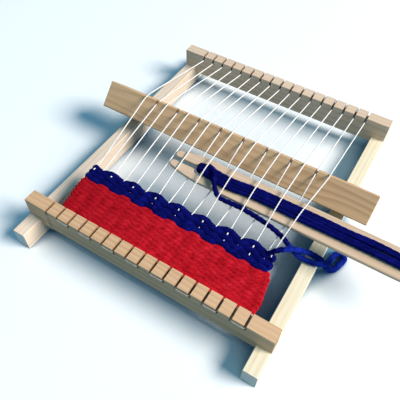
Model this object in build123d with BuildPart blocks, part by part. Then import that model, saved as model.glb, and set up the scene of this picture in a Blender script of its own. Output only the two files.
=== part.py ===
from build123d import *
import math
import os

os.makedirs("parts", exist_ok=True)

# Small table loom. +X runs along the beams, +Y from the weaver to the back beam, +Z up.
# The origin is the middle of the frame, on the table.

# Wooden frame
beam_length = 200.0
beam_depth = 10.5
beam_height = 21.4
beam_spread = 226.0
rail_length = 262.0
rail_width = 10.5
rail_height = 17.0
lap_depth = 5.0
wood_edge = 0.6

# Warp slots sawn into the beams
slot_count = 17
slot_pitch = 10.0
slot_width = 1.9
slot_depth = 5.2

# Countersunk screws from below, through the rails into the beams
screw_shank = 3.0
screw_head = 6.0
screw_length = 24.0
screw_clearance = 0.1
thread_bite = 0.15

# Heddle bar: a square bar that stands on one long edge and turns a quarter turn
heddle_side = 22.4
heddle_length = 234.0
heddle_y = 12.8
heddle_edge = 1.0
heddle_gap = 0.35
slit_depth = 3.3
slit_width = 2.0

# Warp string, wound to and fro between the beams
string_diameter = 1.2
string_seat = 0.05
string_gap = 0.3
loop_corner = 0.42
crest_half = 6.0
fell_part = 0.8
start_tail = 6.0
end_tail = 12.0

# Woven cloth, a little narrower at its fell than at the beam
cloth_margin = 1.3
cloth_draw = 4.4
cloth_thickness = 3.0
red_length = 28.8
blue_length = 13.7
cloth_gap = 0.3
cloth_corner = 2.5

# Stick shuttle with a fork at each end
shuttle_length = 200.0
shuttle_width = 22.0
shuttle_thickness = 3.0
shuttle_x = 72.0
shuttle_y = -27.0
shuttle_edge = 0.5
prong_taper = 28.0
prong_tip = 13.0
prong_round = 2.2
fork_slot = 3.4
fork_depth = 25.0
eye_length = 5.0
eye_round = 1.5

# Weft yarn, wound lengthways on the shuttle
yarn_diameter = 2.8
yarn_seat = 0.3
yarn_gap = 0.45
yarn_strands = 3
yarn_start = 38.0
yarn_step = 24.0
tail_lead = 4.0
tail_fill = 0.45

# Places worked out from the sizes above
half_spread = beam_spread / 2
beam_middle = half_spread - beam_depth / 2
beam_inner = half_spread - beam_depth
beam_base = rail_height - lap_depth
beam_top = beam_base + beam_height
rail_middle = (beam_length - rail_width) / 2
string_radius = string_diameter / 2
slot_floor = beam_top - slot_depth
slot_line = slot_floor + string_radius + string_seat
loop_line = half_spread + string_radius + string_seat
slot_x = [slot_pitch * (i - (slot_count - 1) / 2) for i in range(slot_count)]
upper_x = slot_x[0::2]
lower_x = slot_x[1::2]

heddle_reach = heddle_side / math.sqrt(2) - heddle_edge * (math.sqrt(2) - 1)
heddle_z = rail_height + heddle_gap + heddle_reach
crest_top = heddle_z + heddle_reach
upper_crest = crest_top + string_gap + string_radius
lower_crest = upper_crest - slit_depth
slit_half = slit_depth + heddle_edge * (math.sqrt(2) - 1)

# The shed plane rises from the front slots to midway between the two crests
shed_slope = ((upper_crest + lower_crest) / 2 - slot_line) / (heddle_y + beam_inner)
shed_tilt = math.atan(shed_slope)
shed_normal = (0, -math.sin(shed_tilt), math.cos(shed_tilt))


def shed_height(y):
    return slot_line + shed_slope * (y + beam_inner)


cloth_start = -beam_inner + cloth_gap
cloth_origin = (0, cloth_start, shed_height(cloth_start))
cloth_plane = Plane(origin=cloth_origin, x_dir=(1, 0, 0), z_dir=shed_normal)
cloth_length = red_length + blue_length
fell_y = cloth_start + cloth_length * math.cos(shed_tilt)
cloth_half = slot_x[-1] + cloth_margin
red_half = cloth_half - cloth_draw * red_length / cloth_length
fell_half = cloth_half - cloth_draw
fell_share = 1 - cloth_draw / slot_x[-1]
shuttle_origin = (shuttle_x, shuttle_y, shed_height(shuttle_y))
shuttle_plane = Plane(origin=shuttle_origin, x_dir=(1, 0, 0), z_dir=shed_normal)

yarn_pitch = yarn_diameter + yarn_gap
yarn_lay = shuttle_thickness / 2 + yarn_seat + yarn_diameter / 2
yarn_half_width = ((yarn_strands - 1) * yarn_pitch + yarn_diameter) / 2
eye_width = 2 * (yarn_half_width + yarn_seat)
fork_wall = shuttle_length / 2 - fork_depth
stick_part = shuttle_thickness / 2 + string_gap + string_radius
yarn_part = yarn_lay + yarn_diameter / 2 + string_gap + string_radius
stick_left = shuttle_x - shuttle_length / 2 - string_diameter
yarn_left = shuttle_x - fork_wall - yarn_lay - yarn_diameter

# Side rails, notched on top for the beams and countersunk below for the screws
for side, rail_name in ((-1, "left_rail"), (1, "right_rail")):
    rail_x = side * rail_middle
    with BuildPart() as rail:
        with Locations((rail_x, 0, 0)):
            Box(rail_width, rail_length, rail_height, align=(Align.CENTER, Align.CENTER, Align.MIN))
        fillet(rail.edges().filter_by(Axis.Y).group_by(Axis.Z)[-1], wood_edge)
        with Locations((rail_x, -beam_middle, beam_base), (rail_x, beam_middle, beam_base)):
            Box(
                rail_width,
                beam_depth,
                lap_depth,
                align=(Align.CENTER, Align.CENTER, Align.MIN),
                mode=Mode.SUBTRACT,
            )
        with Locations(
            Plane(origin=(rail_x, -beam_middle, 0), z_dir=(0, 0, -1)),
            Plane(origin=(rail_x, beam_middle, 0), z_dir=(0, 0, -1)),
        ):
            CounterSinkHole(
                screw_shank / 2 + screw_clearance,
                screw_head / 2 + screw_clearance,
                depth=beam_base,
                counter_sink_angle=90,
            )
    rail.part.label = rail_name
    export_step(rail.part, f"parts/{rail_name}.step")

# Slotted beams, lying in the rail notches
for side, beam_name in ((-1, "front_beam"), (1, "back_beam")):
    beam_y = side * beam_middle
    with BuildPart() as beam:
        with Locations((0, beam_y, beam_base)):
            Box(beam_length, beam_depth, beam_height, align=(Align.CENTER, Align.CENTER, Align.MIN))
        fillet(beam.edges().filter_by(Axis.X).group_by(Axis.Z)[-1], wood_edge)
        with Locations(*[(x, beam_y, slot_floor) for x in slot_x]):
            Box(
                slot_width,
                beam_depth,
                slot_depth,
                align=(Align.CENTER, Align.CENTER, Align.MIN),
                mode=Mode.SUBTRACT,
            )
        with Locations(
            Plane(origin=(-rail_middle, beam_y, beam_base), z_dir=(0, 0, -1)),
            Plane(origin=(rail_middle, beam_y, beam_base), z_dir=(0, 0, -1)),
        ):
            Hole(screw_shank / 2 - thread_bite, depth=screw_clearance + screw_length - beam_base)
    beam.part.label = beam_name
    export_step(beam.part, f"parts/{beam_name}.step")

# Four screws, heads seated in the countersinks
with BuildPart() as beam_screws:
    with BuildSketch(Plane.XZ):
        with BuildLine():
            Polyline(
                (0, screw_clearance),
                (screw_head / 2, screw_clearance),
                (screw_shank / 2, screw_clearance + (screw_head - screw_shank) / 2),
                (screw_shank / 2, screw_clearance + screw_length - screw_shank),
                (0, screw_clearance + screw_length),
                close=True,
            )
        make_face()
    one_screw = revolve(axis=Axis.Z, mode=Mode.PRIVATE)
    with Locations(
        (-rail_middle, -beam_middle),
        (rail_middle, -beam_middle),
        (-rail_middle, beam_middle),
        (rail_middle, beam_middle),
    ):
        add(one_screw)
beam_screws.part.label = "beam_screws"
export_step(beam_screws.part, "parts/beam_screws.step")

# Heddle bar: slits for every second string on the top edge, for the others on the back edge
with BuildPart() as heddle_bar:
    with BuildSketch(Plane.YZ.offset(-heddle_length / 2)) as heddle_section:
        with Locations((heddle_y, heddle_z)):
            Rectangle(heddle_side, heddle_side, rotation=45)
        fillet(heddle_section.vertices(), heddle_edge)
    extrude(amount=heddle_length)
    fillet(heddle_bar.faces().filter_by(Axis.X).edges(), wood_edge)
    with Locations(*[(x, heddle_y, crest_top - slit_depth) for x in lower_x]):
        Box(
            slit_width,
            heddle_side,
            heddle_side,
            align=(Align.CENTER, Align.CENTER, Align.MIN),
            mode=Mode.SUBTRACT,
        )
    with Locations(*[(x, heddle_y + heddle_reach - slit_depth, heddle_z) for x in upper_x]):
        Box(
            slit_width,
            heddle_side,
            heddle_side,
            align=(Align.CENTER, Align.MIN, Align.CENTER),
            mode=Mode.SUBTRACT,
        )
heddle_bar.part.label = "heddle_bar"
export_step(heddle_bar.part, "parts/heddle_bar.step")

# Shuttle: a flat stick that tapers into a two-pronged fork at each end
with BuildPart() as shuttle:
    with BuildSketch(shuttle_plane.offset(-shuttle_thickness / 2)) as stick:
        with BuildLine():
            edge_line = Line((0, shuttle_width / 2), (shuttle_length / 2 - prong_taper, shuttle_width / 2))
            taper_arc = TangentArc(edge_line @ 1, (shuttle_length / 2, prong_tip / 2), tangent=(1, 0))
            Line(taper_arc @ 1, (shuttle_length / 2, 0))
            mirror(about=Plane.XZ)
            mirror(about=Plane.YZ)
        make_face()
        with Locations(
            (fork_wall + fork_depth / 2, 0),
            (-fork_wall - fork_depth / 2, 0),
        ):
            Rectangle(fork_depth, fork_slot, mode=Mode.SUBTRACT)
        with Locations(
            (fork_wall + eye_length / 2, 0),
            (-fork_wall - eye_length / 2, 0),
        ):
            RectangleRounded(eye_length, eye_width, eye_round, mode=Mode.SUBTRACT)
        tip_corners = stick.vertices().group_by(Axis.X)
        fillet(tip_corners[0] + tip_corners[-1], prong_round)
    extrude(amount=shuttle_thickness)
    chamfer(shuttle.faces().filter_by(shuttle_plane).edges(), shuttle_edge)
shuttle.part.label = "shuttle"
export_step(shuttle.part, "parts/shuttle.step")


def on_shuttle(u, v, w):
    return shuttle_plane.from_local_coords((u, v, w))


# Yarn wound round the shuttle from fork to fork, stepping aside by one strand underneath
with BuildPart() as shuttle_yarn:
    with BuildLine() as winding:
        lane = -(yarn_strands - 1) / 2 * yarn_pitch
        top_start = yarn_start - shuttle_length / 2
        for strand in range(yarn_strands):
            Line(on_shuttle(top_start, lane, yarn_lay), on_shuttle(fork_wall, lane, yarn_lay))
            ThreePointArc(
                on_shuttle(fork_wall, lane, yarn_lay),
                on_shuttle(fork_wall + yarn_lay, lane, 0),
                on_shuttle(fork_wall, lane, -yarn_lay),
            )
            top_start = -fork_wall
            if strand == yarn_strands - 1:
                Line(on_shuttle(fork_wall, lane, -yarn_lay), on_shuttle(yarn_step, lane, -yarn_lay))
                break
            Line(on_shuttle(fork_wall, lane, -yarn_lay), on_shuttle(yarn_step, lane, -yarn_lay))
            step_radius = (yarn_step**2 + (yarn_pitch / 2) ** 2) / yarn_pitch
            half_sweep = math.asin(yarn_step / step_radius) / 2
            bow_u = step_radius * math.sin(half_sweep)
            bow_v = step_radius * (1 - math.cos(half_sweep))
            ThreePointArc(
                on_shuttle(yarn_step, lane, -yarn_lay),
                on_shuttle(yarn_step - bow_u, lane + bow_v, -yarn_lay),
                on_shuttle(0, lane + yarn_pitch / 2, -yarn_lay),
            )
            ThreePointArc(
                on_shuttle(0, lane + yarn_pitch / 2, -yarn_lay),
                on_shuttle(bow_u - yarn_step, lane + yarn_pitch - bow_v, -yarn_lay),
                on_shuttle(-yarn_step, lane + yarn_pitch, -yarn_lay),
            )
            lane += yarn_pitch
            Line(on_shuttle(-yarn_step, lane, -yarn_lay), on_shuttle(-fork_wall, lane, -yarn_lay))
            ThreePointArc(
                on_shuttle(-fork_wall, lane, -yarn_lay),
                on_shuttle(-fork_wall - yarn_lay, lane, 0),
                on_shuttle(-fork_wall, lane, yarn_lay),
            )
    yarn_path = winding.wires()[0]
    with BuildSketch(Plane(origin=yarn_path @ 0, z_dir=yarn_path % 0)):
        Circle(yarn_diameter / 2)
    sweep(path=yarn_path)
shuttle_yarn.part.label = "shuttle_yarn"
export_step(shuttle_yarn.part, "parts/shuttle_yarn.step")

# Least gap between the winding's turns, measured on points along its line
sample_count = 900
samples = [yarn_path @ (i / sample_count) for i in range(sample_count + 1)]
apart = int(sample_count * math.pi * yarn_lay / yarn_path.length) + 1
least_gap = min(
    (one - other).length for i, one in enumerate(samples) for other in samples[i + apart :]
)
print("winding: least gap to itself", round(least_gap - yarn_diameter, 2), "mm")
print("winding: volume over section times length", round(
    shuttle_yarn.part.volume / (math.pi * yarn_diameter**2 / 4 * yarn_path.length), 4))

# Woven cloth: a red band at the front beam and a blue band that ends at the fell
with BuildPart() as weft_red:
    with BuildSketch(cloth_plane.offset(-cloth_thickness / 2)):
        with BuildLine():
            Polyline(
                (-cloth_half, 0),
                (cloth_half, 0),
                (red_half, red_length),
                (-red_half, red_length),
                close=True,
            )
        make_face()
    extrude(amount=cloth_thickness)
weft_red.part.label = "weft_red"
export_step(weft_red.part, "parts/weft_red.step")

with BuildPart() as weft_blue:
    with BuildSketch(cloth_plane.offset(-cloth_thickness / 2)) as blue_band:
        with BuildLine():
            Polyline(
                (-red_half, red_length),
                (red_half, red_length),
                (fell_half, cloth_length),
                (-fell_half, cloth_length),
                close=True,
            )
        make_face()
        fillet(blue_band.vertices().group_by(Axis.Y)[-1], cloth_corner)
    extrude(amount=cloth_thickness)
weft_blue.part.label = "weft_blue"
export_step(weft_blue.part, "parts/weft_blue.step")


# Routes of the warp string, from the heddle to the beams
def crest_points(x, upper):
    # An upper string bends once over the edge, a lower one at both ends of its slit
    if upper:
        return [(x, heddle_y, upper_crest)]
    return [(x, heddle_y - slit_half, lower_crest), (x, heddle_y + slit_half, lower_crest)]


def front_points(x, upper):
    sign = 1 if upper else -1
    points = [(x, -beam_inner, slot_line), (x * fell_share, fell_y, shed_height(fell_y) + sign * fell_part)]
    if x > yarn_left:
        reach, part = yarn_half_width, yarn_part
    elif x > stick_left:
        reach, part = shuttle_width / 2, stick_part
    else:
        return points
    for y in (shuttle_y - reach, shuttle_y + reach):
        points.append((x, y, shed_height(y) + sign * part / math.cos(shed_tilt)))
    return points


def cut_point(start, crest, y):
    # The place along one straight run where the crest piece takes over from the run
    share = (y - start[1]) / (crest[1] - start[1])
    return tuple(a + (b - a) * share for a, b in zip(start, crest))


def front_cut(x, upper):
    return cut_point(front_points(x, upper)[-1], crest_points(x, upper)[0], heddle_y - crest_half)


def back_cut(x, upper):
    return cut_point((x, beam_inner, slot_line), crest_points(x, upper)[-1], heddle_y + crest_half)


def front_run(x, upper):
    return front_points(x, upper) + [front_cut(x, upper)]


def back_run(x, upper):
    return [back_cut(x, upper), (x, beam_inner, slot_line)]


def round_tooth(before, corner, after):
    # The string turns round a tooth's corner in two mitred steps
    steps = []
    for other in (before, after):
        share = loop_corner / math.dist(corner, other)
        steps.append(tuple(c + (o - c) * share for c, o in zip(corner, other)))
    return steps


# Front runs: the first string is tied down on the front beam, the others loop round its teeth in pairs
under_line = beam_base - string_radius - string_seat
tied_end = (slot_x[0], start_tail - half_spread, under_line)
tied_low = (slot_x[0], -loop_line, under_line)
tied_high = (slot_x[0], -loop_line, slot_line)
tied_run = front_run(slot_x[0], True)
front_routes = [
    [tied_end]
    + round_tooth(tied_end, tied_low, tied_high)
    + round_tooth(tied_low, tied_high, tied_run[0])
    + tied_run
]
for left_x, right_x in zip(slot_x[1::2], slot_x[2::2]):
    left_run, right_run = front_run(left_x, False)[::-1], front_run(right_x, True)
    left_turn, right_turn = (left_x, -loop_line, slot_line), (right_x, -loop_line, slot_line)
    front_routes.append(
        left_run
        + round_tooth(left_run[-1], left_turn, right_turn)
        + round_tooth(left_turn, right_turn, right_run[0])
        + right_run
    )
with BuildPart() as warp_front:
    for points in front_routes:
        with BuildLine() as route:
            Polyline(*points)
        with BuildSketch(Plane(origin=route.wires()[0] @ 0, z_dir=route.wires()[0] % 0)):
            Circle(string_radius)
        sweep(path=route.wires()[0], transition=Transition.RIGHT)
warp_front.part.label = "warp_front"
export_step(warp_front.part, "parts/warp_front.step")

# Back runs: pairs loop round the back beam's teeth, the last string hangs down behind it
last_run = back_run(slot_x[-1], True)
last_turn = (slot_x[-1], loop_line, slot_line)
last_end = (slot_x[-1], loop_line, slot_line - end_tail)
back_routes = [last_run + round_tooth(last_run[-1], last_turn, last_end) + [last_end]]
for left_x, right_x in zip(slot_x[0::2], slot_x[1::2]):
    left_run, right_run = back_run(left_x, True), back_run(right_x, False)[::-1]
    left_turn, right_turn = (left_x, loop_line, slot_line), (right_x, loop_line, slot_line)
    back_routes.append(
        left_run
        + round_tooth(left_run[-1], left_turn, right_turn)
        + round_tooth(left_turn, right_turn, right_run[0])
        + right_run
    )
with BuildPart() as warp_back:
    for points in back_routes:
        with BuildLine() as route:
            Polyline(*points)
        with BuildSketch(Plane(origin=route.wires()[0] @ 0, z_dir=route.wires()[0] % 0)):
            Circle(string_radius)
        sweep(path=route.wires()[0], transition=Transition.RIGHT)
warp_back.part.label = "warp_back"
export_step(warp_back.part, "parts/warp_back.step")

# Crests: the stretch of each string that the heddle bar lifts
for upper, crest_name, crest_x in (
    (True, "warp_crest_upper", upper_x),
    (False, "warp_crest_lower", lower_x),
):
    with BuildPart() as warp_crest:
        for x in crest_x:
            with BuildLine() as route:
                Polyline(front_cut(x, upper), *crest_points(x, upper), back_cut(x, upper))
            with BuildSketch(Plane(origin=route.wires()[0] @ 0, z_dir=route.wires()[0] % 0)):
                Circle(string_radius)
            sweep(path=route.wires()[0], transition=Transition.RIGHT)
    warp_crest.part.label = crest_name
    export_step(warp_crest.part, f"parts/{crest_name}.step")

# Weft tail: slack yarn that leaves the fell over the outermost string, lies over the right rail,
# loops on the table and comes back under that string to the shuttle
tail_end = yarn_path @ 0
tail_points = [
    (69.3, -62.2, 35.6),
    (72.3, -59.9, 39.0),
    (76.1, -58.1, 41.3),
    (79.7, -54.6, 40.4),
    (82.9, -49.5, 36.0),
    (86.5, -44.5, 30.1),
    (90.2, -39.4, 25.0),
    (93.9, -35.5, 21.0),
    (98.9, -36.6, 20.6),
    (103.2, -34.3, 16.0),
    (106.0, -27.4, 8.6),
    (108.2, -19.6, 3.4),
    (109.7, -15.0, 1.8),
    (112.4, -14.0, 1.8),
    (115.0, -15.2, 1.8),
    (116.1, -17.9, 1.8),
    (114.2, -22.0, 1.8),
    (111.1, -27.0, 2.4),
    (107.6, -32.4, 6.6),
    (104.6, -37.6, 12.8),
    (101.6, -41.4, 18.8),
    (97.0, -42.3, 20.2),
    (91.3, -42.3, 20.8),
    (85.6, -43.7, 23.8),
    (80.8, -45.2, 28.8),
    (76.5, -46.1, 34.0),
    (71.6, -45.7, 37.6),
    (62.9, -43.5, 38.8),
    (50.2, -41.2, 39.0),
    (36.9, -40.0, 39.4),
    (27.0, -41.3, 39.6),
    (18.5, -42.0, 39.7),
    (11.2, -41.8, 41.0),
    (5.3, -40.1, 42.4),
    (2.6, -37.3, 43.4),
    (2.8, -33.6, 43.9),
    (tail_end.X - tail_lead, tail_end.Y, tail_end.Z),
    (tail_end.X, tail_end.Y, tail_end.Z),
]
tail_runs = [Vector(b) - Vector(a) for a, b in zip(tail_points, tail_points[1:])]
tail_turns = [
    tail_fill * min(before.length, after.length) / math.tan(math.radians(before.get_angle(after)) / 2)
    for before, after in zip(tail_runs, tail_runs[1:])
]
with BuildPart() as weft_tail:
    with BuildLine() as tail_line:
        FilletPolyline(*tail_points, radius=tail_turns)
    tail_path = tail_line.wires()[0]
    with BuildSketch(Plane(origin=tail_path @ 0, z_dir=tail_path % 0)):
        Circle(yarn_diameter / 2)
    sweep(path=tail_path)
weft_tail.part.label = "weft_tail"
export_step(weft_tail.part, "parts/weft_tail.step")
print("weft tail: length", round(tail_path.length, 1), "mm, radii", [round(r, 1) for r in tail_turns])
print("weft tail: volume over section times length", round(
    weft_tail.part.volume / (math.pi * yarn_diameter**2 / 4 * tail_path.length), 4))
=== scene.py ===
import math
import random

import bpy
import numpy as np
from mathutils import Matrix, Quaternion, Vector


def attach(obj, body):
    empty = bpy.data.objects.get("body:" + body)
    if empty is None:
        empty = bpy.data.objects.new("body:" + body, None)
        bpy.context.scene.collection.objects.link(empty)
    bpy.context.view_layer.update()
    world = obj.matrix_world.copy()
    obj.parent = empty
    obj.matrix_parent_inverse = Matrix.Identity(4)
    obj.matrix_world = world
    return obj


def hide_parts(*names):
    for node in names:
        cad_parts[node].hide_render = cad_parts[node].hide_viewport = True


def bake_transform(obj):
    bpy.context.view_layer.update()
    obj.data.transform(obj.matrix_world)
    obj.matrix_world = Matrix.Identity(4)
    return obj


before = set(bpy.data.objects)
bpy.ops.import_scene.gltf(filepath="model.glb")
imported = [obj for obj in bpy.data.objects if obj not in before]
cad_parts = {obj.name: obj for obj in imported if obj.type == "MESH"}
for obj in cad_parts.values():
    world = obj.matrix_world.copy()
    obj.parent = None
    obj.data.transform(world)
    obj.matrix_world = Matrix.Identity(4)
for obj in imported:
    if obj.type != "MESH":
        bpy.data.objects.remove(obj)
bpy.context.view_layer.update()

mm = 0.001
dice = random.Random(11)
print("frame loaded:", len(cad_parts), "nodes")


# small helpers for node trees
def startMaterial(name):
    material = bpy.data.materials.new(name)
    material.use_nodes = True
    tree = material.node_tree
    tree.nodes.clear()
    out = tree.nodes.new("ShaderNodeOutputMaterial")
    shader = tree.nodes.new("ShaderNodeBsdfPrincipled")
    tree.links.new(shader.outputs["BSDF"], out.inputs["Surface"])
    return material, tree, shader


def feed(tree, socket, value):
    if isinstance(value, bpy.types.NodeSocket):
        tree.links.new(value, socket)
    else:
        socket.default_value = value


def calc(tree, operation, a, b=None, c=None):
    step = tree.nodes.new("ShaderNodeMath")
    step.operation = operation
    for socket, value in zip(step.inputs, (a, b, c)):
        if value is not None:
            feed(tree, socket, value)
    return step.outputs[0]


def vecCalc(tree, operation, a, b=None):
    step = tree.nodes.new("ShaderNodeVectorMath")
    step.operation = operation
    for socket, value in zip(step.inputs, (a, b)):
        if value is not None:
            feed(tree, socket, value)
    return step.outputs["Value" if operation == "LENGTH" else "Vector"]


def noiseOf(tree, vector, scale, detail=2.0, output="Fac"):
    grain = tree.nodes.new("ShaderNodeTexNoise")
    tree.links.new(vector, grain.inputs["Vector"])
    grain.inputs["Scale"].default_value = scale
    grain.inputs["Detail"].default_value = detail
    return grain.outputs[output]


def rangeOf(tree, value, low, high, toLow, toHigh):
    step = tree.nodes.new("ShaderNodeMapRange")
    step.interpolation_type = "SMOOTHSTEP"
    tree.links.new(value, step.inputs["Value"])
    for socket, number in zip(("From Min", "From Max", "To Min", "To Max"), (low, high, toLow, toHigh)):
        step.inputs[socket].default_value = number
    return step.outputs["Result"]


def blendColours(tree, share, a, b, way="MIX"):
    mix = tree.nodes.new("ShaderNodeMix")
    mix.data_type = "RGBA"
    mix.blend_type = way
    feed(tree, mix.inputs["Factor"], share)
    feed(tree, mix.inputs["A"], a if isinstance(a, bpy.types.NodeSocket) else (*a, 1))
    feed(tree, mix.inputs["B"], b if isinstance(b, bpy.types.NodeSocket) else (*b, 1))
    return mix.outputs["Result"]


def splitRays(tree, bounced, seen, out):
    # the camera meets one shader, all other light meets the other
    path = tree.nodes.new("ShaderNodeLightPath")
    mix = tree.nodes.new("ShaderNodeMixShader")
    tree.links.new(path.outputs["Is Camera Ray"], mix.inputs["Fac"])
    tree.links.new(bounced.outputs[0], mix.inputs[1])
    tree.links.new(seen.outputs[0], mix.inputs[2])
    tree.links.new(mix.outputs["Shader"], out.inputs["Surface"])


def addBump(tree, shader, height, finish):
    bump = tree.nodes.new("ShaderNodeBump")
    bump.inputs["Strength"].default_value = finish["bumpBy"]
    bump.inputs["Distance"].default_value = finish["bumpDepth"]
    tree.links.new(height, bump.inputs["Height"])
    tree.links.new(bump.outputs["Normal"], shader.inputs["Normal"])


# camera at the photograph's angle and framing
cameraView = {
    "place": (111.12, -222.57, 299.75),
    "aim": (5.65, -43.69, 30.0),
    "roll": math.radians(1.436),
    "lens": 41.82,
    "sensor": 36.0,
    "nearest": 0.01,
}


def addCamera():
    data = bpy.data.cameras.new("photoCamera")
    data.lens = cameraView["lens"]
    data.sensor_width = cameraView["sensor"]
    data.clip_start = cameraView["nearest"]
    camera = bpy.data.objects.new("photoCamera", data)
    place = Vector(cameraView["place"]) * mm
    aim = Vector(cameraView["aim"]) * mm
    turn = (aim - place).to_track_quat("-Z", "Y")
    camera.location = place
    camera.rotation_mode = "QUATERNION"
    camera.rotation_quaternion = turn @ Quaternion((0, 0, 1), cameraView["roll"])
    bpy.context.collection.objects.link(camera)
    bpy.context.scene.camera = camera


# soft window light from the right, cool fill from all round
light = {
    "toward": (1.0, 0.22, 0.86),
    "distance": 5.0,
    "size": (2.8, 2.0),
    "power": 393.0,
    "colour": (1.0, 0.905, 0.845),
    "fill": (0.29, 0.77, 1.15),
    "fillPower": 0.31,
    "backdrop": (0.93, 0.96, 1.0),
}


def addLight():
    lamp = bpy.data.lights.new("windowLight", "AREA")
    lamp.shape = "ELLIPSE"
    lamp.size, lamp.size_y = light["size"]
    lamp.energy = light["power"]
    lamp.color = light["colour"]
    holder = bpy.data.objects.new("windowLight", lamp)
    away = Vector(light["toward"]).normalized() * light["distance"]
    holder.location = away
    holder.rotation_mode = "QUATERNION"
    holder.rotation_quaternion = (-away).to_track_quat("-Z", "Y")
    bpy.context.collection.objects.link(holder)
    world = bpy.data.worlds.new("paleRoom")
    bpy.context.scene.world = world
    world.use_nodes = True
    tree = world.node_tree
    tree.nodes.clear()
    fill, seen = (tree.nodes.new("ShaderNodeBackground") for _ in range(2))
    fill.inputs["Color"].default_value = (*light["fill"], 1)
    fill.inputs["Strength"].default_value = light["fillPower"]
    seen.inputs["Color"].default_value = (*light["backdrop"], 1)
    splitRays(tree, fill, seen, tree.nodes.new("ShaderNodeOutputWorld"))


floor = {
    "half": 2.5,
    "below": 0.0002,
    "seen": (0.92, 0.985, 1.0),
    "bounced": (0.34, 0.46, 0.52),
    # painted shade: the floor's seen colour is darkened to this in nooks
    "paintedNookShade": (0.07, 0.20, 0.34),  # where little daylight gets in
    "nookReach": 0.06,
    "nookSamples": 24,
    "nookRange": (0.28, 0.56),
}


def addFloor():
    h, z = floor["half"], -floor["below"]
    mesh = bpy.data.meshes.new("paleFloor")
    mesh.from_pydata([(-h, -h, z), (h, -h, z), (h, h, z), (-h, h, z)], [], [(0, 1, 2, 3)])
    piece = bpy.data.objects.new("paleFloor", mesh)
    bpy.context.collection.objects.link(piece)
    material = bpy.data.materials.new("paleFloorPaint")
    material.use_nodes = True
    tree = material.node_tree
    tree.nodes.clear()
    bounced, seen = (tree.nodes.new("ShaderNodeBsdfDiffuse") for _ in range(2))
    bounced.inputs["Color"].default_value = (*floor["bounced"], 1)
    # painted shade: ambient occlusion darkens the floor's seen colour near the loom's parts and in nooks
    paintedNookShade = tree.nodes.new("ShaderNodeAmbientOcclusion")
    paintedNookShade.samples = floor["nookSamples"]
    paintedNookShade.inputs["Distance"].default_value = floor["nookReach"]
    openShare = rangeOf(tree, paintedNookShade.outputs["AO"], *floor["nookRange"], 0.0, 1.0)
    tree.links.new(blendColours(tree, openShare, floor["paintedNookShade"], floor["seen"]), seen.inputs["Color"])
    splitRays(tree, bounced, seen, tree.nodes.new("ShaderNodeOutputMaterial"))
    mesh.materials.append(material)


addCamera()
addLight()
addFloor()
bpy.context.scene.view_settings.view_transform = "Standard"
print("camera, light and floor set")

# sanded pine: growth rings round a pith line that lies off to one side, with fine fibres along the grain
pineTones = {
    # painted shade: the left rail is given a darker, browner tone than the right one, as less light reaches it
    "leftRailShadedPine": {
        "turn": (0, 0, -math.pi / 2),
        "pith": (0.0, 0.046, -0.035),
        "early": (0.91, 0.77, 0.61),
        "late": (0.77, 0.59, 0.43),
        # painted shade: the bluish end tint stands for cool shade on the rail's ends
        "endGrainAndShadeTint": (1.00, 1.15, 1.42),
        "ring": 0.0027,
        "wander": 0.0075,
    },
    # painted light: the right rail is given a paler tone, as the light falls most strongly on it
    "rightRailLitPine": {
        "turn": (0, 0, -math.pi / 2),
        "pith": (0.0, -0.046, -0.035),
        "early": (0.91, 0.85, 0.64),
        "late": (0.80, 0.675, 0.455),
        # painted shade: the bluish end tint stands for cool shade on the rail's ends
        "endGrainAndShadeTint": (0.98, 1.00, 1.22),
        "ring": 0.0027,
        "wander": 0.0075,
    },
    "frontBeamPine": {
        "turn": (0, 0, 0),
        "pith": (0.0, 0.030, -0.048),
        "early": (0.73, 0.485, 0.285),
        "late": (0.55, 0.335, 0.175),
        "endGrainAndShadeTint": (0.62, 0.58, 0.54),
        "ring": 0.0031,
        "wander": 0.009,
    },
    "backBeamPine": {
        "turn": (0, 0, 0),
        "pith": (0.0, 0.020, -0.042),
        "early": (0.77, 0.61, 0.455),
        "late": (0.62, 0.44, 0.29),
        "endGrainAndShadeTint": (0.62, 0.58, 0.54),
        "ring": 0.0031,
        "wander": 0.009,
    },
    "heddlePine": {
        "turn": (0, 0, 0),
        "pith": (0.0, -0.022, 0.010),
        "early": (0.79, 0.525, 0.290),
        "late": (0.54, 0.315, 0.155),
        "endGrainAndShadeTint": (0.42, 0.36, 0.30),
        "ring": 0.0062,
        "wander": 0.034,
    },
    "shuttlePine": {
        "turn": (0, 0, 0),
        "pith": (0.0, -0.058, -0.012),
        "early": (0.72, 0.545, 0.385),
        "late": (0.59, 0.415, 0.260),
        "endGrainAndShadeTint": (0.85, 0.80, 0.76),
        "ring": 0.0024,
        "wander": 0.0075,
    },
}
pineGrain = {
    "wander": (7.0, 26.0, 26.0),
    "fibre": (26.0, 1500.0, 1500.0),
    "fleck": (70.0, 2600.0, 2600.0),
    "patch": (9.0, 60.0, 60.0),
    # from a low and a high value to two shares
    "lateRise": (0.25, 0.86, 0.0, 1.0),
    "lateFall": (0.90, 1.0, 1.0, 0.0),
    "latePatch": (0.25, 0.75, 0.25, 0.95),
    "fibreShare": (0.35, 0.75, 0.0, 0.35),
    "fleckShare": (0.66, 0.80, 0.0, 0.45),
    "patchShare": (0.30, 0.80, 0.0, 0.30),
    "endFacing": (0.75, 0.95, 0.0, 1.0),
    "rough": (0.3, 0.8, 0.52, 0.72),
    "fleckTone": (0.30, 0.17, 0.09),
    "gloss": 0.32,
    "fibreHeight": 0.6,
    "ringHeight": 0.4,
    "bumpBy": 0.35,
    "bumpDepth": 0.00012,
}


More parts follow.
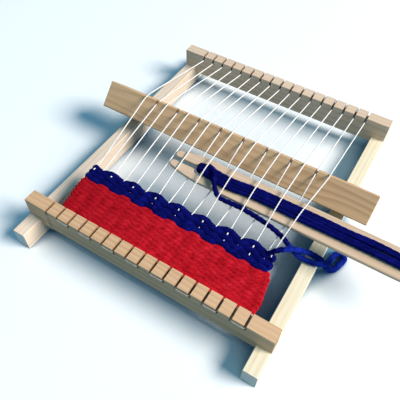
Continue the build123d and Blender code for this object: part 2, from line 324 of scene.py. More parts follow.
def pineMaterial(name, tone):
    material, tree, shader = startMaterial(name)
    coords = tree.nodes.new("ShaderNodeTexCoord")
    turn = tree.nodes.new("ShaderNodeMapping")
    turn.inputs["Rotation"].default_value = tone["turn"]
    tree.links.new(coords.outputs["Object"], turn.inputs["Vector"])
    along = turn.outputs["Vector"]

    def drawnOut(kind, detail, output="Fac"):
        return noiseOf(tree, vecCalc(tree, "MULTIPLY", along, pineGrain[kind]), 1.0, detail, output)

    wander = vecCalc(tree, "SUBTRACT", drawnOut("wander", 2.0, "Color"), (0.5, 0.5, 0.5))
    drift = vecCalc(tree, "MULTIPLY", wander, (0.0, tone["wander"], tone["wander"]))
    across = vecCalc(tree, "MULTIPLY", vecCalc(tree, "ADD", along, drift), (0.0, 1.0, 1.0))
    depth = vecCalc(tree, "LENGTH", vecCalc(tree, "SUBTRACT", across, tone["pith"]))
    rings = calc(tree, "FRACT", calc(tree, "DIVIDE", depth, tone["ring"]))
    lateLine = calc(tree, "MULTIPLY", rangeOf(tree, rings, *pineGrain["lateRise"]),
                    rangeOf(tree, rings, *pineGrain["lateFall"]))
    patch, fibre, fleck = drawnOut("patch", 3.0), drawnOut("fibre", 3.0), drawnOut("fleck", 1.0)
    lateShare = calc(tree, "MULTIPLY", lateLine, rangeOf(tree, patch, *pineGrain["latePatch"]))
    colour = blendColours(tree, lateShare, tone["early"], tone["late"])
    colour = blendColours(tree, rangeOf(tree, fibre, *pineGrain["fibreShare"]), colour, tone["late"])
    colour = blendColours(tree, rangeOf(tree, fleck, *pineGrain["fleckShare"]), colour, pineGrain["fleckTone"])
    colour = blendColours(tree, rangeOf(tree, patch, *pineGrain["patchShare"]), colour, tone["late"])
    # end grain is told by the face's own direction; its tint is the end grain's own darker tone, and on the
    # rails a painted cool shade
    facing = tree.nodes.new("ShaderNodeMapping")
    facing.vector_type = "VECTOR"
    facing.inputs["Rotation"].default_value = tone["turn"]
    tree.links.new(coords.outputs["Normal"], facing.inputs["Vector"])
    parts = tree.nodes.new("ShaderNodeSeparateXYZ")
    tree.links.new(facing.outputs["Vector"], parts.inputs["Vector"])
    endShare = rangeOf(tree, calc(tree, "ABSOLUTE", parts.outputs["X"]), *pineGrain["endFacing"])
    colour = blendColours(tree, endShare, colour, blendColours(tree, 1.0, colour, tone["endGrainAndShadeTint"], "MULTIPLY"))
    tree.links.new(colour, shader.inputs["Base Color"])
    tree.links.new(rangeOf(tree, fibre, *pineGrain["rough"]), shader.inputs["Roughness"])
    shader.inputs["Specular IOR Level"].default_value = pineGrain["gloss"]
    height = calc(tree, "ADD", calc(tree, "MULTIPLY", fibre, pineGrain["fibreHeight"]),
                  calc(tree, "MULTIPLY", lateLine, pineGrain["ringHeight"]))
    addBump(tree, shader, height, pineGrain)
    return material


pine = {name: pineMaterial(name, tone) for name, tone in pineTones.items()}
print("pine materials made:", len(pine))

screwFinish = {"colour": (0.56, 0.56, 0.58), "streak": (900, 900, 5000), "rough": (0.3, 0.7, 0.28, 0.46)}


def steelMaterial():
    material, tree, shader = startMaterial("zincSteel")
    coords = tree.nodes.new("ShaderNodeTexCoord")
    streak = noiseOf(tree, vecCalc(tree, "MULTIPLY", coords.outputs["Object"], screwFinish["streak"]), 1.0, 2.0)
    tree.links.new(rangeOf(tree, streak, *screwFinish["rough"]), shader.inputs["Roughness"])
    shader.inputs["Base Color"].default_value = (*screwFinish["colour"], 1)
    shader.inputs["Metallic"].default_value = 1.0
    return material


def dress(node, material):
    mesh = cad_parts[node].data
    mesh.materials.clear()
    mesh.materials.append(material)


for nodeName, pineName in (
    ("left_rail", "leftRailShadedPine"),
    ("right_rail", "rightRailLitPine"),
    ("front_beam", "frontBeamPine"),
    ("back_beam", "backBeamPine"),
    ("heddle_bar", "heddlePine"),
    ("shuttle", "shuttlePine"),
):
    dress(nodeName, pine[pineName])
dress("beam_screws", steelMaterial())
print("wood and screws dressed")


# plied yarn: fibres wind round the strand on its own UVs, with fuzz and dye patches over them
dyes = {
    "redWool": {
        "deep": (0.25, 0.002, 0.006),
        "dye": (0.53, 0.008, 0.018),
        "light": (0.80, 0.032, 0.050),
        # painted shade: how far the cloth darkens towards its left side
        "leftShadeBy": 0.45,
        "sheen": (1.0, 0.25, 0.28),
        "sheenBy": 0.06,
        "gloss": 0.04,
    },
    "blueWool": {
        "deep": (0.0012, 0.0018, 0.040),
        "dye": (0.0030, 0.0045, 0.105),
        "light": (0.0080, 0.0130, 0.250),
        "sheen": (0.05, 0.08, 0.7),
        "sheenBy": 0.04,
        "gloss": 0.02,
    },
    # painted light: a brighter copy of the blue wool for the tail's loop, where the light falls on it
    "litLoopBlueWool": {
        "deep": (0.0018, 0.0040, 0.075),
        "dye": (0.0060, 0.0205, 0.270),
        "light": (0.0180, 0.0560, 0.500),
        "sheen": (0.10, 0.16, 0.9),
        "sheenBy": 0.08,
        "gloss": 0.02,
    },
    "whiteCotton": {
        "deep": (0.74, 0.71, 0.65),
        "dye": (0.90, 0.885, 0.85),
        "light": (0.97, 0.965, 0.95),
        "sheen": (1.0, 1.0, 1.0),
        "sheenBy": 0.1,
        "gloss": 0.15,
    },
    # painted shade: a darker copy of the white cotton, used for the string loops round the beams' teeth
    "shadedLoopCotton": {
        "deep": (0.36, 0.345, 0.31),
        "dye": (0.50, 0.485, 0.45),
        "light": (0.60, 0.59, 0.56),
        "sheen": (1.0, 1.0, 1.0),
        "sheenBy": 0.05,
        "gloss": 0.15,
    },
}


# how the fibres lie, the same for every dye
yarnFibre = {
    "strayScale": 900.0,
    "strayBy": 0.30,
    "roundScale": 2.6,
    "longScale": 3.2,
    "fuzzScale": 2600.0,
    "patchScale": 150.0,
    "fibreShare": 0.75,
    "fuzzShare": 0.45,
    "patchShare": 0.55,
    "dyeRange": (0.62, 0.92, 0.0, 1.0),
    "lightRange": (0.90, 1.16, 0.0, 0.8),
    "leftShadeRange": (-0.085, 0.015),
    "rough": 0.95,
    "sheenRough": 0.45,
    "fuzzHeight": 0.6,
    "bumpBy": 0.7,
    "bumpDepth": 0.00025,
}


def woolMaterial(name, dye):
    material, tree, shader = startMaterial(name)
    coords = tree.nodes.new("ShaderNodeTexCoord")
    sides = tree.nodes.new("ShaderNodeSeparateXYZ")
    tree.links.new(coords.outputs["UV"], sides.inputs["Vector"])
    place = coords.outputs["Object"]
    stray = calc(tree, "MULTIPLY", noiseOf(tree, place, yarnFibre["strayScale"], 2.0), yarnFibre["strayBy"])
    wound = calc(tree, "ADD", calc(tree, "SUBTRACT", sides.outputs["X"], sides.outputs["Y"]), stray)
    angle = calc(tree, "MULTIPLY", wound, 2 * math.pi)
    # fibres drawn out along the twist: fine round the strand, long down it
    spun = tree.nodes.new("ShaderNodeCombineXYZ")
    feed(tree, spun.inputs["X"], calc(tree, "MULTIPLY", calc(tree, "COSINE", angle), yarnFibre["roundScale"]))
    feed(tree, spun.inputs["Y"], calc(tree, "MULTIPLY", calc(tree, "SINE", angle), yarnFibre["roundScale"]))
    feed(tree, spun.inputs["Z"], calc(tree, "MULTIPLY", sides.outputs["Y"], yarnFibre["longScale"]))
    fibre = noiseOf(tree, spun.outputs["Vector"], 1.0, 4.0)
    fuzz = noiseOf(tree, place, yarnFibre["fuzzScale"], 3.0)
    patch = noiseOf(tree, place, yarnFibre["patchScale"], 3.0)
    tone = calc(tree, "ADD", calc(tree, "MULTIPLY", fibre, yarnFibre["fibreShare"]),
                calc(tree, "ADD", calc(tree, "MULTIPLY", fuzz, yarnFibre["fuzzShare"]),
                     calc(tree, "MULTIPLY", patch, yarnFibre["patchShare"])))
    colour = blendColours(tree, rangeOf(tree, tone, *yarnFibre["dyeRange"]), dye["deep"], dye["dye"])
    colour = blendColours(tree, rangeOf(tree, tone, *yarnFibre["lightRange"]), colour, dye["light"])
    if "leftShadeBy" in dye:  # painted shade: the cloth is darker towards its left side
        spot = tree.nodes.new("ShaderNodeSeparateXYZ")
        tree.links.new(place, spot.inputs["Vector"])
        share = rangeOf(tree, spot.outputs["X"], *yarnFibre["leftShadeRange"], dye["leftShadeBy"], 0.0)
        colour = blendColours(tree, share, colour, dye["deep"])
    tree.links.new(colour, shader.inputs["Base Color"])
    shader.inputs["Roughness"].default_value = yarnFibre["rough"]
    shader.inputs["Specular IOR Level"].default_value = dye["gloss"]
    shader.inputs["Sheen Weight"].default_value = dye["sheenBy"]
    shader.inputs["Sheen Roughness"].default_value = yarnFibre["sheenRough"]
    shader.inputs["Sheen Tint"].default_value = (*dye["sheen"], 1)
    height = calc(tree, "ADD", calc(tree, "MULTIPLY", fuzz, yarnFibre["fuzzHeight"]), fibre)
    addBump(tree, shader, height, yarnFibre)
    return material


wool = {name: woolMaterial(name, dye) for name, dye in dyes.items()}
print("yarn materials made:", len(wool))


# lines are in millimetres until a mesh is made
def splineLine(points, fineness=14):
    curve = bpy.data.curves.new("routeLine", "CURVE")
    curve.dimensions = "3D"
    curve.resolution_u = fineness
    spline = curve.splines.new("NURBS")
    spline.points.add(len(points) - 1)
    for knot, point in zip(spline.points, points):
        knot.co = (*point, 1.0)
    spline.order_u = 3
    spline.use_endpoint_u = True
    carrier = bpy.data.objects.new("routeLine", curve)
    mesh = bpy.data.meshes.new_from_object(carrier)
    line = np.array([v.co for v in mesh.vertices], float)
    bpy.data.meshes.remove(mesh)
    bpy.data.objects.remove(carrier)
    bpy.data.curves.remove(curve)
    return line


def reachAlong(line):
    return np.concatenate([[0.0], np.cumsum(np.linalg.norm(np.diff(line, axis=0), axis=1))])


def evenLine(line, step):
    gaps = np.linalg.norm(np.diff(line, axis=0), axis=1)
    line = line[np.concatenate([[True], gaps > 1e-6])]
    reach = reachAlong(line)
    at = np.linspace(0.0, reach[-1], max(2, int(math.ceil(reach[-1] / step)) + 1))
    return np.stack([np.interp(at, reach, line[:, k]) for k in range(3)], axis=1)


def unit(rows):
    return rows / np.maximum(np.linalg.norm(rows, axis=-1, keepdims=True), 1e-12)


def ringAxes(line, up=None):
    tangent = unit(np.gradient(line, axis=0))
    if up is not None:
        side = unit(np.cross(tangent, np.broadcast_to(np.array(up, float), tangent.shape)))
        return side, np.cross(side, tangent)
    first = np.array((0.0, 0.0, 1.0)) if abs(tangent[0][2]) < 0.9 else np.array((1.0, 0.0, 0.0))
    side = np.zeros_like(line)
    side[0] = unit(np.cross(tangent[0], first))
    for i in range(1, len(line)):
        carried = side[i - 1] - tangent[i] * (side[i - 1] @ tangent[i])
        side[i] = unit(carried)
    return side, np.cross(side, tangent)


def plySection(sides, plies, bulge, turn):
    # radius of a bundle of plies round its own middle, by angle, at each ring's turn
    angle = np.arange(sides) * 2 * math.pi / sides
    if plies < 2:
        return angle, np.ones((len(turn), sides))
    spread = 2 * math.pi / plies
    off = (angle[None, :] - turn[:, None]) % spread
    off = np.minimum(off, spread - off)
    core = 1.0 - bulge
    return angle, core * np.cos(off) + np.sqrt(np.maximum(bulge**2 - (core * np.sin(off)) ** 2, 0.0))


def strand(line, yarn, wide=1.0, thick=1.0, up=None):
    line = np.asarray(line, float)
    side, top = ringAxes(line, up)
    reach = reachAlong(line)
    turn = 2 * math.pi * reach / yarn["pitch"]
    angle, radius = plySection(yarn["sides"], yarn["plies"], yarn["bulge"], turn)
    wide = np.broadcast_to(np.asarray(wide, float).reshape(-1, 1), (len(line), 1))
    thick = np.broadcast_to(np.asarray(thick, float).reshape(-1, 1), (len(line), 1))
    radius = radius * yarn["radius"]
    across = (radius * np.cos(angle)) * wide
    rise = (radius * np.sin(angle)) * thick
    points = line[:, None, :] + side[:, None, :] * across[..., None] + top[:, None, :] * rise[..., None]
    return points, reach / yarn["pitch"]


# loose fibre ends that stand off the yarn, each a thin tapering hair
looseHair = {
    "size": (0.35, 1.0),
    "lean": 1.0,
    "sideLean": 0.8,
    "rootIn": 0.85,
    "topReach": 1.0,
    "floorGap": 0.3,
    "outBy": 0.8,
    "leanBy": 0.5,
    "stations": (0.0, 0.35, 0.7, 1.0),
    "taper": (0.07, 0.06, 0.045, 0.02),
    "sides": 3,
}


def hairStrands(line, reachOut, count, long, up=None):
    hair = looseHair
    line = np.asarray(line, float)
    side, top = ringAxes(line, up)
    tangent = unit(np.gradient(line, axis=0))
    reachOut = np.broadcast_to(np.asarray(reachOut, float), (len(line),))
    thin = np.array(hair["taper"])[:, None, None]
    turn = np.arange(hair["sides"]) * 2 * math.pi / hair["sides"]
    hairs = []
    for _ in range(count):
        i = dice.randrange(1, len(line) - 1)
        angle = dice.uniform(0.0, 2 * math.pi)
        out = side[i] * math.cos(angle) + top[i] * math.sin(angle)
        lean = tangent[i] * dice.uniform(-hair["lean"], hair["lean"])
        lean = lean + np.cross(tangent[i], out) * dice.uniform(-hair["sideLean"], hair["sideLean"])
        size = long * dice.uniform(*hair["size"])
        wide, high = abs(math.cos(angle)), abs(math.sin(angle))
        root = line[i] + out * (wide * reachOut[i] + high * min(reachOut[i], hair["topReach"])) * hair["rootIn"]
        if root[2] < long + hair["floorGap"]:  # near the floor they stand up, so none goes into it
            out, lean = np.array((0.0, 0.0, 1.0)), lean * (1.0, 1.0, 0.0)
        spine = np.array([root + (out * hair["outBy"] + lean * hair["leanBy"] * t) * size * t
                          for t in hair["stations"]])
        across, rise = ringAxes(spine)
        ring = across[:, None, :] * np.cos(turn)[None, :, None] + rise[:, None, :] * np.sin(turn)[None, :, None]
        hairs.append((spine[:, None, :] + ring * thin, np.zeros(len(spine))))
    return hairs


def yarnMesh(name, strands, material):
    places, faces, spots = [], [], []
    for points, lengthways in strands:
        rings, sides = points.shape[:2]
        base = len(places)
        places.extend((points.reshape(-1, 3) * mm).tolist())
        for i in range(rings - 1):
            for j in range(sides):
                k = (j + 1) % sides
                a, b = base + i * sides, base + (i + 1) * sides
                faces.append((a + j, a + k, b + k, b + j))
                u0, u1, v0, v1 = j / sides, (j + 1) / sides, lengthways[i], lengthways[i + 1]
                spots.extend((u0, v0, u1, v0, u1, v1, u0, v1))
        for ring, flip in ((0, True), (rings - 1, False)):
            loop = [base + ring * sides + j for j in range(sides)]
            faces.append(tuple(reversed(loop)) if flip else tuple(loop))
            spots.extend((0.5, lengthways[ring]) * sides)
    mesh = bpy.data.meshes.new(name)
    mesh.from_pydata(places, [], faces)
    layer = mesh.uv_layers.new(name="yarnUv")
    layer.data.foreach_set("uv", spots)
    mesh.polygons.foreach_set("use_smooth", [True] * len(mesh.polygons))
    mesh.materials.append(material)
    mesh.update()
    piece = bpy.data.objects.new(name, mesh)
    bpy.context.collection.objects.link(piece)
    return piece


# places shared with the CAD part
loom = {
    "slotPitch": 10.0,
    "slotCount": 17,
    "slotLine": 28.85,
    "beamInner": 102.5,
    "beamMiddle": 107.75,
    "loopLine": 113.65,
    "loopRise": 2.5,
    "underLine": 11.35,
    "shedSlope": 0.1613,
    "clothStart": -102.2,
    "heddleY": 12.8,
    "upperCrest": 49.1,
    "lowerCrest": 45.8,
    "slitHalf": 3.714,
    "shuttle": (72.0, -27.0),
    "stickLeft": -29.2,
    "yarnLeft": -9.0,
}
slotX = [loom["slotPitch"] * (i - (loom["slotCount"] - 1) / 2) for i in range(loom["slotCount"])]
tilt = math.atan(loom["shedSlope"])
shedUp = np.array((0.0, -math.sin(tilt), math.cos(tilt)))
shedAlong = np.array((0.0, math.cos(tilt), math.sin(tilt)))


def shedHeight(y):
    return loom["slotLine"] + loom["shedSlope"] * (y + loom["beamInner"])


clothOrigin = np.array((0.0, loom["clothStart"], shedHeight(loom["clothStart"])))
shuttleOrigin = np.array((*loom["shuttle"], shedHeight(loom["shuttle"][1])))


def onCloth(x, s, w):
    x, s, w = np.broadcast_arrays(*(np.asarray(a, float) for a in (x, s, w)))
    flat = np.stack([x, np.zeros_like(x), np.zeros_like(x)], axis=-1)
    return clothOrigin + flat + s[..., None] * shedAlong + w[..., None] * shedUp


def onShuttle(u, v, w):
    return tuple(shuttleOrigin + np.array((u, 0.0, 0.0)) + v * shedAlong + w * shedUp)


# the weaving: picks laid one by one, over the upper strings on odd picks and under them on even ones
weave = {
    "redPicks": [1.2 + 1.62 * k for k in range(18)],
    "bluePicks": [30.3, 32.1, 34.3, 36.6, 38.9, 41.0],
    "left": ((0.0, 74.7), (8.0, 74.9), (15.0, 75.6), (20.0, 76.1), (30.0, 76.0), (43.0, 75.0)),
    "right": ((0.0, 78.4), (6.0, 79.6), (15.0, 78.2), (24.0, 76.9), (28.5, 74.9), (37.0, 73.5),
              (43.0, 72.7)),
    "stringInset": 0.9,
    "narrow": 0.022,
    "step": 0.8,
    "wave": ((0.0, 0.0), (26.0, 0.0), (30.0, -0.1), (34.0, 0.25), (38.0, 0.6), (42.0, 0.95)),
    "lobe": ((0.0, -1.0), (0.06, -0.45), (0.16, 0.55), (0.28, 0.92), (0.40, 1.0), (0.54, 0.85), (0.68, 0.42),
             (0.84, -0.30), (0.94, -0.80), (1.0, -1.0)),
    "growth": 0.0055,
    "slant": ((29.0, 0.0), (42.0, 0.021)),
    "dipAcross": (60.0, 8.0),  # middle and spread of a hollow in the red band's edge
    "dipAlong": (28.5, 5.0),
    "dipBy": 1.5,
    "lean": 0.12,
    "leanHalf": 80,
    "swell": 0.5,
    "swellBy": 0.10,
    "swellWave": 0.17,
    "seedSpan": 40.0,
    "driftWaves": (0.21, 0.53),
    "driftSecond": 0.6,
    "flatFrom": 0.75,
    "flatBy": 0.5,
    "fullLift": 1.12,
    "widePower": 0.7,
    "turnVary": (0.7, 1.25),
    "turnSteps": 9,
    "turnLift": 0.9,
}
redYarn = {
    "radius": 1.0, "sides": 12, "plies": 3, "bulge": 0.82, "pitch": 13.0,
    "lift": 0.28, "wide": (1.50, 1.95), "thick": 0.82, "jitter": 0.24, "scallop": 0.08,
    "turnOut": 0.9, "fromRight": False, "hairs": 900, "hairLong": 1.5,
}
blueYarn = {
    "radius": 1.0, "sides": 14, "plies": 3, "bulge": 0.84, "pitch": 15.0,
    "lift": 0.72, "wide": (1.95, 2.30), "thick": 1.22, "jitter": 0.12, "scallop": 0.25,
    "turnOut": 0.3, "fromRight": True, "hairs": 420, "hairLong": 1.3,
}


def edgeAt(table, s):
    return float(np.interp(s, [a for a, _ in table], [b for _, b in table]))


def stringShare(s):
    return 1.0 - weave["narrow"] * s / weave["bluePicks"][-1]


def stringX(x, s):
    # inner strings stay nearly straight in the weaving, the outer two are drawn in with its edges
    half = edgeAt(weave["left"] if x < 0 else weave["right"], s) - weave["stringInset"]
    return float(np.clip(x * stringShare(s), -half, half))


def pickShift(x, s):
    # how far the beaten-up picks stand forward at x: a lobe at each upper string, a notch at each lower one
    share = (x / (2 * loom["slotPitch"] * stringShare(s)) + 0.5) % 1.0
    (midX, spreadX), (midS, spreadS) = weave["dipAcross"], weave["dipAlong"]
    dip = weave["dipBy"] * math.exp(-(((x - midX) / spreadX) ** 2) - ((s - midS) / spreadS) ** 2)
    lobe = edgeAt(weave["wave"], s) * (1.0 + weave["growth"] * x) * edgeAt(weave["lobe"], share)
    return lobe + edgeAt(weave["slant"], s) * x - dip


def weaveStrand(picks, firstPick, yarn):
    # one yarn laid to and fro across the strings, turning round the outer string after each pick
    points, wides = [], []
    low, high = yarn["wide"]
    slow, quick = weave["driftWaves"]
    flatFrom, flatBy = weave["flatFrom"], weave["flatBy"]
    for k, s in enumerate(picks):
        over = 1.0 if (firstPick + k) % 2 else -1.0
        left, right = edgeAt(weave["left"], s), edgeAt(weave["right"], s)
        steps = int((left + right) / weave["step"])
        xs = np.linspace(-left, right, steps)
        if (k % 2 == 1) != yarn["fromRight"]:
            xs = xs[::-1]
        lean = dice.uniform(-weave["lean"], weave["lean"])
        swell = dice.uniform(-weave["swell"], weave["swell"])
        seedling = dice.uniform(0.0, weave["seedSpan"])
        for x in xs:
            phase = math.cos(math.pi * x / (loom["slotPitch"] * stringShare(s)))
            waves = math.sin(x * slow + seedling) + weave["driftSecond"] * math.sin(x * quick + 2 * seedling)
            shift = yarn["scallop"] * over * phase + pickShift(x, s)
            flat = phase
            if abs(phase) >= flatFrom:
                flat = math.copysign(flatFrom + flatBy * (abs(phase) - flatFrom), phase)
            points.append(onCloth(x, s + lean * x / weave["leanHalf"] + yarn["jitter"] * waves + shift,
                                  yarn["lift"] * over * flat * weave["fullLift"]))
            fuller = 1 + weave["swellBy"] * swell * math.sin(x * weave["swellWave"] + seedling)
            wides.append(low + (high - low) * abs(phase) ** weave["widePower"] * fuller)
        if k + 1 < len(picks):
            way = 1.0 if xs[-1] > 0 else -1.0
            out = yarn["turnOut"] * dice.uniform(*weave["turnVary"])
            start, end = (pick + pickShift(xs[-1], pick) for pick in (s, picks[k + 1]))
            for t in np.linspace(0.0, math.pi, weave["turnSteps"])[1:-1]:
                along = start + (end - start) * (1 - math.cos(t)) / 2
                points.append(onCloth(xs[-1] + way * out * math.sin(t), along,
                                      yarn["lift"] * over * weave["turnLift"] * math.cos(t)))
                wides.append(low)
    return np.array(points), np.array(wides)


def weaveBand(name, picks, firstPick, yarn, material, node):
    line, wides = weaveStrand(picks, firstPick, yarn)
    fuzz = hairStrands(line, wides, yarn["hairs"], yarn["hairLong"], shedUp)
    piece = yarnMesh(name, [strand(line, yarn, wides, yarn["thick"], shedUp)] + fuzz, material)
    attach(piece, "frame")
    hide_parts(node)
    return piece


redBand = weaveBand("redBand", weave["redPicks"], 0, redYarn, wool["redWool"], "weft_red")
blueBand = weaveBand("blueBand", weave["bluePicks"], len(weave["redPicks"]), blueYarn, wool["blueWool"],
                     "weft_blue")

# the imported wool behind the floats, one thin layer that lies on the strings
ground = {
    "rise": 0.55, "start": 0.4, "end": 40.2, "split": 29.4, "inset": 0.2, "columns": 64, "rows": 30, "uvStep": 4,
}


def clothGround():
    places, faces, tints = [], [], []
    rows = np.linspace(ground["start"], ground["end"], ground["rows"] + 1)
    for s in rows:
        left, right = (edgeAt(weave[edge], s) - ground["inset"] for edge in ("left", "right"))
        xs = np.linspace(-left, right, ground["columns"] + 1)
        places.extend((onCloth(xs, s, ground["rise"]) * mm).tolist())
    wide = ground["columns"] + 1
    for i in range(ground["rows"]):
        for j in range(ground["columns"]):
            a = i * wide + j
            faces.append((a, a + 1, a + wide + 1, a + wide))
            tints.append(0 if rows[i] < ground["split"] else 1)
    mesh = bpy.data.meshes.new("clothGround")
    mesh.from_pydata(places, [], faces)
    mesh.materials.append(wool["redWool"])
    mesh.materials.append(wool["blueWool"])
    mesh.polygons.foreach_set("material_index", tints)
    layer = mesh.uv_layers.new(name="yarnUv")
    flat = np.array([places[i] for face in faces for i in face])[:, :2] / (ground["uvStep"] * mm)
    layer.data.foreach_set("uv", flat.ravel())
    mesh.update()
    piece = bpy.data.objects.new("clothGround", mesh)
    bpy.context.collection.objects.link(piece)
    return piece


groundSheet = clothGround()
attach(groundSheet, "frame")
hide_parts("weft_red", "weft_blue")
print("weaving laid:", len(weave["redPicks"]), "red and", len(weave["bluePicks"]), "blue picks")

# warp string: laid through the weaving, parted by the shuttle and lifted by the heddle bar
cotton = {
    "radius": 0.58, "sides": 8, "plies": 2, "bulge": 0.62, "pitch": 4.4, "step": 0.62, "finish": "whiteCotton",
}
# thinner string for the loops round the teeth, in the darker cotton that paints their shade
thinShadedCotton = {**cotton, "radius": 0.44, "finish": "shadedLoopCotton"}
shed = {
    "stickPart": 2.4, "yarnPart": 5.5, "stickReach": 11.0, "yarnReach": 4.65,
    "crossBy": 1.66, "crossLow": 0.25, "crossFrom": 32.2, "crossOver": 6.6,
    "lead": -0.3, "clothFrom": 1.0, "clothPast": 1.2, "clothStep": 0.45,
    "fell": 42.4, "fellPast": 0.6, "fellLift": 0.35,
    "crestEase": 1.2, "crestFlat": 0.8, "beamEase": 1.0, "beamRise": 0.15,
}


def crossHeight(s, upper):
    share = float(np.clip((s - shed["crossFrom"]) / shed["crossOver"], 0.0, 1.0))
    return shed["crossBy" if upper else "crossLow"] * share


def clothString(x, upper):
    # the string's own path inside the weaving, showing where it lies over a loose blue pick
    allPicks = weave["redPicks"] + weave["bluePicks"]
    spots = [s + pickShift(stringX(x, s), s) for s in allPicks]
    sign = 1.0 if upper else -1.0
    points = [onCloth(x, shed["lead"], 0.0)]
    for s in np.arange(shed["clothFrom"], spots[-1] + shed["clothPast"], shed["clothStep"]):
        k = int(np.clip(np.searchsorted(spots, s) - 1, 0, len(spots) - 2))
        between = float(np.clip((s - spots[k]) / (spots[k + 1] - spots[k]), 0, 1))
        share = (1 - math.cos(math.pi * between)) / 2
        heights = [-(1.0 if j % 2 else -1.0) * sign * crossHeight(allPicks[j], upper) for j in (k, k + 1)]
        points.append(onCloth(stringX(x, s), s, heights[0] + (heights[1] - heights[0]) * share))
    return points


def crestEnd(x, slit, top, toward):
    # a little way down from the slit's edge, so that the string bends there
    toward, corner = np.array(toward), np.array((x, slit, top))
    return tuple(corner + (toward - corner) * (shed["crestEase"] / np.linalg.norm(toward - corner)))


def frontString(x, upper):
    sign = 1.0 if upper else -1.0
    start = [(x, -loom["beamMiddle"], loom["slotLine"])] + [tuple(p) for p in clothString(x, upper)]
    fellX = stringX(x, shed["fell"])
    fellAt = shed["fell"] + pickShift(fellX, shed["fell"]) + shed["fellPast"]
    fell = onCloth(fellX, fellAt, sign * shed["fellLift"])
    path = [tuple(fell)]
    if x > loom["stickLeft"]:
        overYarn = x > loom["yarnLeft"]
        wide = shed["yarnReach" if overYarn else "stickReach"]
        part = shed["yarnPart" if overYarn else "stickPart"]
        for y in (loom["shuttle"][1] - wide, loom["shuttle"][1] + wide):
            passX = float(np.interp(y, (fell[1], loom["heddleY"]), (fellX, x)))
            path.append((passX, y, shedHeight(y) + sign * part / math.cos(tilt)))
    slit, top = loom["heddleY"] - loom["slitHalf"], loom["upperCrest" if upper else "lowerCrest"]
    path.append(crestEnd(x, slit, top, path[-1]))
    path += [(x, slit + shed["crestFlat"], top), (x, loom["heddleY"], top)]
    return np.concatenate([np.array(start), splineLine(path)])


def backString(x, upper):
    z, ease = loom["slotLine"], shed["beamEase"]
    end = [(x, loom["beamInner"] - ease, z + shed["beamRise"]), (x, loom["beamInner"] + ease, z),
           (x, loom["beamMiddle"], z)]
    slit, top = loom["heddleY"] + loom["slitHalf"], loom["upperCrest" if upper else "lowerCrest"]
    crest = [(x, loom["heddleY"], top), (x, slit - shed["crestFlat"], top), crestEnd(x, slit, top, end[0])]
    return splineLine(crest + end)


def toothLoop(leftX, rightX, side):
    # out of one slot, round the tooth and into the next slot, the same on both halves
    inner, outer = side * loom["beamMiddle"], side * loom["loopLine"]
    z, top = loom["slotLine"], loom["slotLine"] + loom["loopRise"]
    face = outer + side * 0.05
    half = [(0.0, inner, z), (0.0, outer - side * 2.4, top - 0.5), (0.0, outer - side * 0.4, top),
            (0.5, outer, top), (1.6, face, top - 0.1)]
    return splineLine([(leftX + out, y, height) for out, y, height in half]
                      + [((leftX + rightX) / 2, face, top - 0.25)]
                      + [(rightX - out, y, height) for out, y, height in reversed(half)])


def tieEnd(x, side, tail):
    # over the beam's edge, then along the tail: sideways, inwards from the face, height
    outer, z = side * loom["loopLine"], loom["slotLine"]
    over = [(x, side * loom["beamMiddle"], z), (x, outer - side * 2.2, z), (x, outer - side * 0.3, z - 0.1),
            (x, outer, z - 0.8)]
    return splineLine(over + [(x + out, outer - side * inward, height) for out, inward, height in tail])


def stringPiece(name, lines, body, nodes, blendTo=None, yarn=cotton):
    strands = [strand(evenLine(line, yarn["step"]), yarn) for line in lines]
    piece = yarnMesh(name, strands, wool[yarn["finish"]])
    if blendTo:
        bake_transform(piece)
    else:
        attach(piece, body)
    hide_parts(*nodes)
    return piece


upperX, lowerX = slotX[0::2], slotX[1::2]
for label, xs, body, crestNode in (("Upper", upperX, "upper_crest", "warp_crest_upper"),
                                   ("Lower", lowerX, "lower_crest", "warp_crest_lower")):
    isUpper = label == "Upper"
    stringPiece("warpFront" + label, [frontString(x, isUpper) for x in xs], "frame", ("warp_front", crestNode),
                body)
    stringPiece("warpBack" + label, [backString(x, isUpper) for x in xs], body, ("warp_back", crestNode),
                "frame")
slotZ, underZ = loom["slotLine"], loom["underLine"]
frontTie = tieEnd(slotX[0], -1, (
    (-0.3, 0.0, slotZ - 8.0), (0.3, 0.0, underZ + 1.5), (0.1, 0.2, underZ), (0.2, 6.65, underZ),
))
backTie = tieEnd(slotX[-1], 1, ((-0.4, 0.0, slotZ - 6.0), (0.5, 0.0, slotZ - 12.0)))
stringPiece("warpLoopsFront", [toothLoop(a, b, -1) for a, b in zip(slotX[1::2], slotX[2::2])] + [frontTie],
            "frame", ("warp_front",), yarn=thinShadedCotton)
stringPiece("warpLoopsBack", [toothLoop(a, b, 1) for a, b in zip(slotX[0::2], slotX[1::2])] + [backTie],
            "frame", ("warp_back",), yarn=thinShadedCotton)
print("warp strung:", len(slotX), "strings")

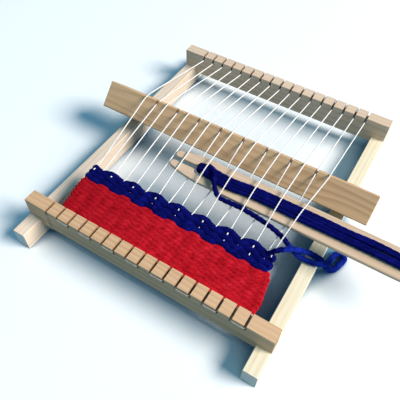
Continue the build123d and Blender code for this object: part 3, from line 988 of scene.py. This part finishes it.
# yarn wound lengthways on the shuttle, four strands on top that part towards the right
windingYarn = {
    "radius": 1.58, "sides": 14, "plies": 3, "bulge": 0.76, "pitch": 15.0, "step": 0.85,
    "wall": 75.0, "lay": 3.05, "turnOut": 3.1, "hairs": 420, "hairLong": 1.3,
    "stations": (-72.0, -62.0, -50.0, -33.0, -12.0, 10.0, 25.0, 38.0, 52.0, 64.0, 72.0),
    "lanes": (
        (-3.4, -4.9, -5.2, -3.1, -3.4, -3.5, -2.9, -2.8, -3.0, -3.1, -3.0),
        (-1.2, -2.5, -2.8, -0.8, -1.2, -0.7, -1.1, -0.7, -1.0, -1.0, -1.0),
        (1.2, -0.2, -0.4, 1.5, 1.5, 1.9, 1.6, 2.3, 2.7, 2.9, 2.4),
        (3.6, 2.2, 1.9, 3.8, 4.0, 4.2, 4.2, 4.3, 4.8, 5.0, 4.3),
    ),
    "leftTurn": (-1.8, -0.3, 1.2, 2.6),
    "rightTurn": (-3.2, -1.1, 1.1, 3.2),
    "underStations": (72.0, 45.0, 22.0, 0.0, -22.0, -45.0, -72.0),
    "underDrift": (-70.0, 40.0),
    "lastStations": (72.0, 50.0, 30.0),
    "lastInset": 0.3,
    "crossing": 0.85,
    "crossingLane": 1,
    "crossingSpan": (-30, 20),
    "stray": 0.25,
    "rise": 0.35,
    "underStray": 0.1,
}


def windingRoute():
    y = windingYarn
    wall, lay, out = y["wall"], y["lay"], y["turnOut"]
    crossFrom, crossTo = y["crossingSpan"]
    points = []
    for j, lane in enumerate(y["lanes"]):
        for u, v in zip(y["stations"], lane):
            lift = y["crossing"] if j == y["crossingLane"] and crossFrom < u < crossTo else 0.0
            v += dice.uniform(-y["stray"], y["stray"])
            points.append(onShuttle(u, v, lay + lift + dice.uniform(0.0, y["rise"])))
        last = y["rightTurn"][j]
        points += [onShuttle(wall + out, last, lay), onShuttle(wall + out, last, -lay)]
        if j == len(y["lanes"]) - 1:
            points += [onShuttle(u, last - y["lastInset"], -lay) for u in y["lastStations"]]
            break
        first = y["leftTurn"][j + 1]
        for u in y["underStations"]:
            v = float(np.interp(u, y["underDrift"], (first, last)))
            points.append(onShuttle(u, v + dice.uniform(-y["underStray"], y["underStray"]), -lay))
        points += [onShuttle(-wall - out, first, -lay), onShuttle(-wall - out, first, lay)]
    return points


windingLine = evenLine(splineLine(windingRoute()), windingYarn["step"])
windingFuzz = hairStrands(windingLine, windingYarn["radius"], windingYarn["hairs"], windingYarn["hairLong"])
winding = yarnMesh("yarnWinding", [strand(windingLine, windingYarn)] + windingFuzz, wool["blueWool"])
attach(winding, "shuttle")
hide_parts("shuttle_yarn")
print("shuttle wound")

# the slack weft: over the outermost string, across the right rail to the floor, and back to the shuttle
tailYarn = {
    "radius": 1.9, "sides": 16, "plies": 3, "bulge": 0.64, "pitch": 13.0, "step": 0.8,
    "hairs": 1300, "hairLong": 2.0,
    "swell": ((0.0, 1.0), (20.0, 1.0), (45.0, 1.15), (75.0, 1.26), (95.0, 1.18), (120.0, 1.24), (140.0, 1.05),
              (165.0, 1.0), (250.0, 1.02)),
    "litLoopFrom": 78.0,  # right of this the loop takes the brighter blue, painted light; left of it the plain blue
}
tailPoints = [
    (69.3, -62.2, 35.8), (72.3, -59.9, 39.3), (76.1, -58.1, 41.7), (79.7, -54.6, 40.9), (82.9, -49.5, 36.4),
    (86.2, -44.3, 30.4), (88.9, -39.8, 25.2), (91.6, -36.7, 21.3), (94.9, -35.6, 19.2), (98.4, -36.3, 19.9),
    (101.4, -36.8, 19.0), (103.4, -36.2, 15.4), (105.5, -34.5, 10.2), (108.6, -31.5, 5.0), (111.1, -27.2, 2.6),
    (112.5, -22.4, 2.6), (114.4, -16.6, 2.6), (113.2, -13.6, 2.6), (110.1, -12.6, 2.6), (107.2, -13.9, 2.6),
    (105.7, -20.2, 3.6), (105.4, -27.4, 8.7), (105.0, -34.0, 15.4), (104.0, -37.9, 19.2), (101.8, -40.7, 20.9),
    (98.0, -42.0, 20.6), (93.4, -42.0, 19.4), (88.8, -43.1, 20.6), (84.8, -44.6, 24.2), (80.7, -45.4, 28.4),
    (76.5, -46.1, 33.8), (71.6, -45.7, 37.6), (62.9, -43.5, 38.8), (50.2, -41.4, 39.0), (36.9, -40.4, 39.4),
    (27.0, -41.2, 39.8), (22.2, -41.4, 40.0), (19.0, -41.2, 40.7), (16.6, -40.2, 42.1), (14.2, -38.0, 43.8),
    (11.6, -34.9, 45.4), (9.8, -31.6, 46.6), (8.0, -28.2, 46.8), (5.0, -24.8, 46.1), (0.4, -23.2, 44.8),
]
tailLine = evenLine(splineLine(tailPoints), tailYarn["step"])
tailSwell = np.array([edgeAt(tailYarn["swell"], i * tailYarn["step"]) for i in range(len(tailLine))])
tailFuzz = hairStrands(tailLine, tailYarn["radius"] * tailSwell, tailYarn["hairs"], tailYarn["hairLong"])
tailStrand = strand(tailLine, tailYarn, tailSwell, tailSwell)
weftTail = yarnMesh("weftTail", [tailStrand] + tailFuzz, wool["litLoopBlueWool"])
weftTail.data.materials.append(wool["blueWool"])
# painted light: faces right of the loop's start get the brighter blue, the rest the plain blue
for face in weftTail.data.polygons:
    face.material_index = 1 if face.center.x < tailYarn["litLoopFrom"] * mm else 0
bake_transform(weftTail)
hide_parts("weft_tail")
